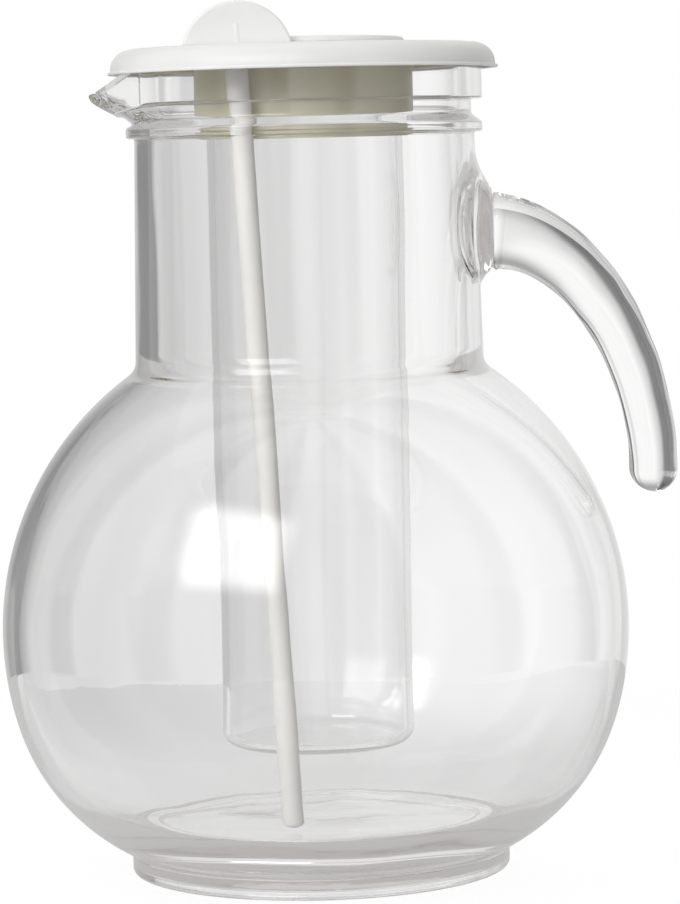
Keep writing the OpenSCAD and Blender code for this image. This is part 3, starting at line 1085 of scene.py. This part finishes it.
@dataclass(frozen=True)
class MouldedFinish:
    """A white satin moulding."""

    name: str
    colour: Colour
    # Darker, warmer colour painted as shade on the parts under the lid.
    shaded_colour: Colour
    roughness: float
    grain: float
    relief: float
    glow: float

    def material(self, grain: bpy.types.NodeTree) -> bpy.types.Material:
        """Builds the material.

        Args:
            grain: Node group for the skin of a moulding.

        Returns:
            The material.
        """
        made, w = start_material(self.name)
        coords = w.node("ShaderNodeTexCoord")
        group = w.node("ShaderNodeGroup", {
            "Vector": coords.outputs["Object"], "Colour": (*self.colour, 1.0),
            "Inside": (*self.shaded_colour, 1.0), "Roughness": self.roughness, "Grain": self.grain,
        }, node_tree=grain)
        bump = w.node("ShaderNodeBump", {
            "Strength": 0.4, "Distance": self.relief * MM, "Height": group.outputs["Height"]})
        skin = w.node("ShaderNodeBsdfPrincipled", {
            "Base Color": group.outputs["Colour"], "Roughness": group.outputs["Roughness"],
            "Normal": bump.outputs["Normal"], "IOR": 1.49, "Subsurface Weight": self.glow,
            "Subsurface Radius": (1.0, 0.95, 0.85), "Subsurface Scale": 2.5 * MM})
        w.node("ShaderNodeOutputMaterial", {"Surface": skin.outputs["BSDF"]})
        return made


@dataclass
class Studio:
    """Pale floor, soft light, white surroundings and the camera.

    A stretch of the surroundings is given by four angles in degrees, from straight behind towards
    the handle's side: where it starts, is full, starts to fall and ends.
    """

    eye: tuple[float, float, float] = (0.0, -1.0153, 0.1896)
    yaw: float = 0.00737
    pitch: float = -0.0771
    roll: float = -0.0235
    focal_px: float = 3821.5
    long_side_px: float = 904.0
    floor_r: float = 0.35
    least_grey: float = 0.6
    bay_count: float = 8.0
    white_stretch: Stretch = (4, 8, 34, 40)
    dark_stretch: Stretch = (-52, -46, -29, -25)
    dark_grey: float = 0.07
    solid_stretch: Stretch = (-52, -46, -15, -6)
    solid_grey: float = 0.22

    def camera(self) -> None:
        """Places the camera at the photograph's viewing angle."""
        ahead = Vector((math.sin(self.yaw) * math.cos(self.pitch),
                        math.cos(self.yaw) * math.cos(self.pitch), math.sin(self.pitch)))
        right = Vector((math.cos(self.yaw), -math.sin(self.yaw), 0.0))
        up = right.cross(ahead)
        turned_right = right * math.cos(self.roll) + up * math.sin(self.roll)
        turned_up = up * math.cos(self.roll) - right * math.sin(self.roll)
        data = bpy.data.cameras.new("camera")
        data.sensor_width = 36.0
        data.lens = self.focal_px / self.long_side_px * data.sensor_width
        data.clip_start, data.clip_end = 0.05, 20.0
        made = bpy.data.objects.new("camera", data)
        bpy.context.scene.collection.objects.link(made)
        turn = Matrix((turned_right, turned_up, -ahead)).transposed()
        made.matrix_world = Matrix.Translation(self.eye) @ turn.to_4x4()
        bpy.context.scene.camera = made

    def lamp(self, name: str, place: Vector, aim: Vector, size: tuple[float, float],
             radiance: float) -> bpy.types.AreaLight:
        """Hangs a soft rectangular lamp.

        Args:
            name: Name of the lamp.
            place: Where it hangs, in metres.
            aim: Point that it faces.
            size: Width and height in metres.
            radiance: Brightness of its face.

        Returns:
            The lamp's data.
        """
        data = bpy.data.lights.new(name, "AREA")
        data.shape = "RECTANGLE"
        data.size, data.size_y = size
        data.energy = radiance * math.pi * size[0] * size[1]
        made = bpy.data.objects.new(name, data)
        bpy.context.scene.collection.objects.link(made)
        made.matrix_world = Matrix.Translation(place) @ (
            (aim - place).to_track_quat("-Z", "Y").to_matrix().to_4x4())
        made.visible_camera = False
        return data

    @staticmethod
    def soften(lamp: bpy.types.AreaLight, edge: float = 0.24) -> None:
        """Fades a lamp's face out towards its four sides.

        Args:
            lamp: The lamp's data.
            edge: Share of the face's width that each fading side takes up.
        """
        lamp.use_nodes = True
        w = Wiring(lamp.node_tree)
        level: object = 1.0
        for side in w.split(w.node("ShaderNodeNewGeometry").outputs["Parametric"])[:2]:
            rise, fall = w.ramp(side, 0.0, edge, 0.0, 1.0), w.ramp(side, 1.0 - edge, 1.0, 1.0, 0.0)
            level = w.math("MULTIPLY", level, w.math("MULTIPLY", rise, fall))
        glow = w.node("ShaderNodeEmission", {"Strength": level})
        w.node("ShaderNodeOutputLight", {"Surface": glow.outputs["Emission"]})

    def lamps(self) -> None:
        """Hangs a window-like key lamp with soft edges at the lip's side, and a weak top lamp."""
        belly = Vector((0.0, 0.0, 0.08))
        key = belly + Vector((-0.45, -0.718, 0.531)) * 1.05
        self.soften(self.lamp("key", key, belly, (0.86, 0.64), 4.6))
        self.lamp("top", Vector((-0.2, 0.1, 1.1)), Vector((0.0, 0.0, 0.2)), (0.9, 0.9), 0.25)

    def surroundings(self) -> None:
        """White surroundings to the eye and through glass, dimmer when mirrored and as light."""
        world = bpy.data.worlds.new("surroundings")
        world.use_nodes = True
        bpy.context.scene.world = world
        w = Wiring(world.node_tree)
        x, y, z = w.split(w.node("ShaderNodeTexCoord").outputs["Generated"])
        path = w.node("ShaderNodeLightPath")
        faces, mirrors = path.outputs["Transmission Depth"], path.outputs["Glossy Depth"]
        solid = w.math("COMPARE", faces, 2.0, 0.5)
        hollow = w.math("GREATER_THAN", faces, 3.5)
        dark = self.stretch(w, x, y, self.dark_stretch)
        bays = w.choose(dark, self.bays(w, x, y), self.dark_grey)
        broad = w.math("MULTIPLY", solid, self.stretch(w, x, y, self.solid_stretch))
        bays = w.choose(broad, bays, self.solid_grey)
        plain = w.choose(hollow, bays, w.math("MAXIMUM", bays, self.least_grey))
        low = w.ramp(z, -0.15, -0.6, 1.0, 0.55)
        seen_height = w.math("MULTIPLY", w.ramp(z, 0.2, 0.7, 1.0, 0.35), low)
        seen_through = w.math("MULTIPLY", plain, seen_height)
        height = w.math("MULTIPLY", w.ramp(z, 0.3, 0.8, 1.0, 0.8), low)
        mirrored = w.math("MULTIPLY", w.math("MULTIPLY_ADD", plain, 0.8, 0.08), height)
        mirrored = w.choose(w.math("GREATER_THAN", mirrors, SPENT_BOUNCES), mirrored, 0.58)
        lit = w.math("MULTIPLY_ADD", x, -0.06, w.ramp(z, -0.6, 0.8, 0.36, 0.6))
        is_mirrored = w.math("GREATER_THAN", mirrors, 0.5)
        glossy = w.math("MAXIMUM", path.outputs["Is Glossy Ray"],
                        path.outputs["Is Transmission Ray"])
        level = w.choose(glossy, lit, w.choose(is_mirrored, seen_through, mirrored))
        level = w.choose(path.outputs["Is Camera Ray"], level, 1.0)
        glow = w.node("ShaderNodeBackground", {"Color": (1.0, 1.0, 1.0, 1.0), "Strength": level})
        w.node("ShaderNodeOutputWorld", {"Surface": glow.outputs["Background"]})

    @staticmethod
    def stretch(w: Wiring, x: object, y: object, ends: Stretch) -> bpy.types.NodeSocket:
        """Mask of a stretch of the surroundings.

        Args:
            w: Wiring of the tree.
            x: Way towards the handle's side.
            y: Way to the back.
            ends: The stretch.

        Returns:
            The output that holds the mask.
        """
        angle = w.math("ARCTAN2", x, y)
        a, b, c, d = (math.radians(end) for end in ends)
        return w.math("MULTIPLY", w.ramp(angle, a, b, 0.0, 1.0), w.ramp(angle, c, d, 1.0, 0.0))

    def bays(self, w: Wiring, x: object, y: object) -> bpy.types.NodeSocket:
        """Grey of a ring of alike bays, each rising to white from one side, with one white stretch.

        Args:
            w: Wiring of the tree.
            x: Way towards the handle's side.
            y: Way to the back.

        Returns:
            The output that holds the grey.
        """
        turn = w.math("MULTIPLY_ADD", w.math("ARCTAN2", x, y), self.bay_count / math.tau, 0.5)
        along = w.math("FRACT", w.math("ADD", turn, self.bay_count))
        ramp = w.node("ShaderNodeValToRGB", {0: along})
        for i, (place, grey) in enumerate(BAY_GREYS):
            if i < 2:
                stop = ramp.color_ramp.elements[i]
                stop.position = place
            else:
                stop = ramp.color_ramp.elements.new(place)
            stop.color = (grey, grey, grey, 1.0)
        return w.choose(self.stretch(w, x, y, self.white_stretch), ramp.outputs["Color"], 1.0)

    def floor(self) -> None:
        """Lays a round pale floor that is white to the eye, keeps the shadow and has painted shade
        round the jug.
        """
        bm = bmesh.new()
        bmesh.ops.create_circle(bm, cap_ends=True, radius=self.floor_r, segments=96)
        bmesh.ops.translate(bm, vec=(0.0, 0.0, -0.0002), verts=bm.verts)
        floor = as_object(bm, "floor")
        made, w = start_material("pale_floor")
        path = w.node("ShaderNodeLightPath")
        eye, glossy, through = (path.outputs[f"Is {kind} Ray"]
                                for kind in ("Camera", "Glossy", "Transmission"))
        place = w.node("ShaderNodeTexCoord").outputs["Object"]
        x, y, _ = w.split(place)
        far = w.node("ShaderNodeVectorMath", {0: place}, operation="LENGTH").outputs["Value"]
        bays = w.math("MAXIMUM", self.bays(w, x, y), self.least_grey)
        # Painted shadow: seen through glass, the floor is an even 0.74 grey out to 0.1 m from the
        # middle, easing to the surroundings' greys by the edge, with a painted lighter patch of
        # 0.85 right under the foot.
        near = w.choose(w.ramp(far, 0.1, self.floor_r - 0.02, 0.0, 1.0), 0.74, bays)
        near = w.math("MAXIMUM", near, w.ramp(far, 0.045, 0.07, 0.85, 0.0))
        spent = w.math("GREATER_THAN", path.outputs["Glossy Depth"], SPENT_BOUNCES)
        near = w.choose(spent, near, 0.55)
        strength = w.math("MAXIMUM", w.math("MULTIPLY", through, near),
                          w.math("MULTIPLY", glossy, 0.55))
        strength = w.math("MAXIMUM", strength, w.math("MULTIPLY", eye, 1.08))
        shown = w.math("MAXIMUM", w.math("MAXIMUM", eye, glossy), through)
        plain = w.node("ShaderNodeBsdfDiffuse", {"Color": (0.92, 0.92, 0.92, 1.0)})
        glow = w.node("ShaderNodeEmission", {"Strength": strength})
        w.node("ShaderNodeOutputMaterial", {"Surface": w.blend(
            w.math("MULTIPLY", shown, 0.8), plain.outputs["BSDF"], glow.outputs["Emission"])})
        floor.data.materials.append(made)

    def build(self) -> None:
        """Sets up the whole studio."""
        bpy.context.scene.view_settings.view_transform = "Standard"
        self.camera()
        self.lamps()
        self.surroundings()
        self.floor()


GLASS = ClearFinish(
    name="clear_glass", tint=(0.998, 0.998, 0.998), ior=1.51, shade=(0.95, 0.945, 0.94),
    absorbed=(0.8, 0.765, 0.74), density=7.0, waves=22.0, streaks=60.0, depth=0.25)
TUBE_PLASTIC = ClearFinish(
    name="clear_tube_plastic", tint=(0.995, 0.995, 0.995), ior=1.49, shade=(0.95, 0.95, 0.95),
    absorbed=(0.82, 0.815, 0.81), density=8.0, waves=30.0, streaks=90.0, depth=0.06)
# Each moulding's second colour is painted shade, used on its parts under the lid.
LID_PLASTIC = MouldedFinish(
    name="white_lid_plastic", colour=(0.9, 0.895, 0.88), shaded_colour=(0.68, 0.645, 0.5),
    roughness=0.42, grain=900.0, relief=0.05, glow=0.25)
ROD_PLASTIC = MouldedFinish(
    name="white_rod_plastic", colour=(0.9, 0.9, 0.885), shaded_colour=(0.78, 0.77, 0.745),
    roughness=0.36, grain=1100.0, relief=0.03, glow=0.3)


def main() -> None:
    """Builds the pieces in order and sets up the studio."""
    logging.basicConfig(level=logging.INFO, format="%(name)s: %(message)s")
    noise.seed_set(WAVE_SEED)  # the clock seeds it otherwise, and no two runs would be alike
    ripple, grain = ripple_group(), grain_group()
    stirrer = Stirrer()
    GlassJug().build(GLASS.material(ripple))
    IceTube().build(TUBE_PLASTIC.material(ripple))
    Lid().build(LID_PLASTIC.material(grain), stirrer)
    stirrer.build(ROD_PLASTIC.material(grain))
    Studio().build()


if __name__ == "__main__":
    main()
